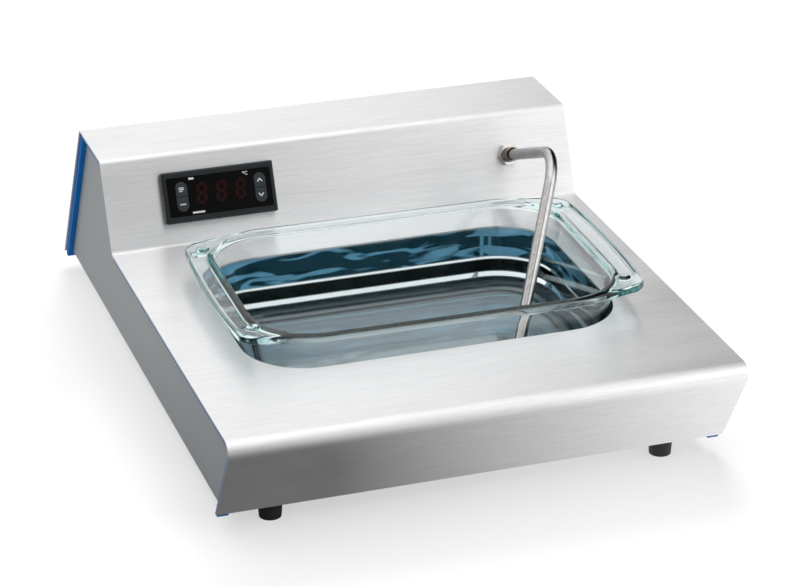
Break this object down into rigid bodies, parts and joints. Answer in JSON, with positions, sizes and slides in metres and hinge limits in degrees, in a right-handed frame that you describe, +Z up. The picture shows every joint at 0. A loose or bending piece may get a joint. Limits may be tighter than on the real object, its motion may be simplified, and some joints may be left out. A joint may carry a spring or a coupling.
{
  "type": "histology water bath",
  "caption": "Low wedge-shaped bench water bath: brushed steel housing with a sloping control panel, a glass dish in a heated well and a bent temperature probe.",
  "frame": {"origin": "middle of the footprint, at the height of the feet's lower faces", "axes": "+X to the right as the user sees it, +Y from the front to the back, +Z up"},
  "size_m": [0.317, 0.4276, 0.1335],
  "materials": {
    "brushed_stainless": "satin, grain along the width",
    "polished_stainless": "mirror polished",
    "probe_stainless": "fine drawn",
    "nickel_nut": "bright nickel",
    "grey_paint": "satin",
    "blue_trim": "gloss",
    "base_zinc": "zinc plated",
    "foot_rubber": "matte",
    "screw_steel": "plated",
    "silicone_orange": "matte",
    "insulation": "fibrous",
    "clear_glass": "clear, slightly green",
    "bezel_plastic": "satin",
    "dark_window": "gloss",
    "key_plastic": "satin",
    "black_plastic": "satin",
    "board_green": "lacquered",
    "terminal_green": "satin",
    "rocker_plastic": "gloss",
    "relay_white": "satin",
    "brass_stud": "plain"
  },
  "bodies": {
    "housing": {"housing_shell": "brushed_stainless", "side_panel_left": "grey_paint", "side_panel_right": "grey_paint", "edge_trim_left": "blue_trim", "edge_trim_right": "blue_trim", "base_plate": "base_zinc", "foot_front_left": "foot_rubber", "foot_front_right": "foot_rubber", "foot_rear_left": "foot_rubber", "foot_rear_right": "foot_rubber", "foot_screws": "screw_steel", "foot_nuts": "screw_steel", "base_screws": "screw_steel", "inlet_screws": "screw_steel", "well_tray": "polished_stainless", "heater_mat": "silicone_orange", "insulation_pad": "insulation", "thermal_cutout": "screw_steel", "glass_dish": "clear_glass", "probe_tube": "probe_stainless", "temperature_sensor": "probe_stainless", "probe_nut": "nickel_nut", "probe_gland": "nickel_nut", "probe_ferrule": "nickel_nut", "probe_locknut": "nickel_nut", "controller_bezel": "bezel_plastic", "controller_window": "dark_window", "controller_case": "black_plastic", "display_board": "board_green", "controller_clips": "black_plastic", "controller_terminals": "terminal_green", "mains_inlet": "black_plastic", "switch_body": "black_plastic", "relay": "relay_white", "terminal_block": "terminal_green", "earth_stud": "brass_stud"},
    "key_set": {"key_set": "key_plastic"},
    "key_menu": {"key_menu": "key_plastic"},
    "key_up": {"key_up": "key_plastic"},
    "key_down": {"key_down": "key_plastic"},
    "switch_rocker": {"switch_rocker": "rocker_plastic"}
  },
  "joints": [
    {"name": "key_set_press", "type": "slide", "parent": "housing", "child": "key_set", "axis": [0, 0.9096, -0.4155], "range_m": [0, 0.0005], "stiffness_N_per_m": 500, "springref_m": -0.001},
    {"name": "key_menu_press", "type": "slide", "parent": "housing", "child": "key_menu", "axis": [0, 0.9096, -0.4155], "range_m": [0, 0.0005], "stiffness_N_per_m": 500, "springref_m": -0.001},
    {"name": "key_up_press", "type": "slide", "parent": "housing", "child": "key_up", "axis": [0, 0.9096, -0.4155], "range_m": [0, 0.0005], "stiffness_N_per_m": 500, "springref_m": -0.001},
    {"name": "key_down_press", "type": "slide", "parent": "housing", "child": "key_down", "axis": [0, 0.9096, -0.4155], "range_m": [0, 0.0005], "stiffness_N_per_m": 500, "springref_m": -0.001},
    {"name": "switch_rock", "type": "hinge", "parent": "housing", "child": "switch_rocker", "pos_m": [0.052, 0.17234, 0.07617], "axis": [1, 0, 0], "range_deg": [0, 16]}
  ]
}
